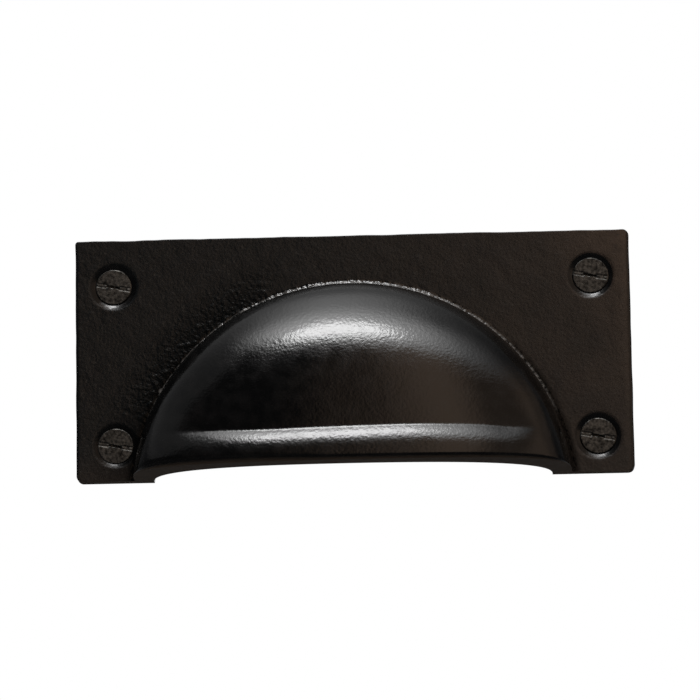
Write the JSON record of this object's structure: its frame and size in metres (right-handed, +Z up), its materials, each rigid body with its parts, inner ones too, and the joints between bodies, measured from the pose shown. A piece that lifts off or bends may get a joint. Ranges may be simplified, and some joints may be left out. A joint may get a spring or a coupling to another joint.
{
  "type": "cup pull",
  "caption": "Black cast-iron cup pull: a flat oblong plate with a half-round hood, open below and behind for the fingers, fixed by slotted countersunk wood screws.",
  "frame": {"origin": "centre of the plate's back face, which lies on the drawer front", "axes": "+X to the right seen from the front, +Y into the drawer front, +Z up, so the hood stands out towards -Y and opens down"},
  "size_m": [0.1016, 0.0396, 0.0448],
  "materials": {
    "casting": "satin black paint over rough-cast iron, smoother on the hood than on the plate",
    "screws": "blackened steel, dull and mottled, bare metal at the ends of the slots"
  },
  "bodies": {
    "root": {"cup_pull": "casting", "fixing_screws": "screws"}
  },
  "joints": []
}
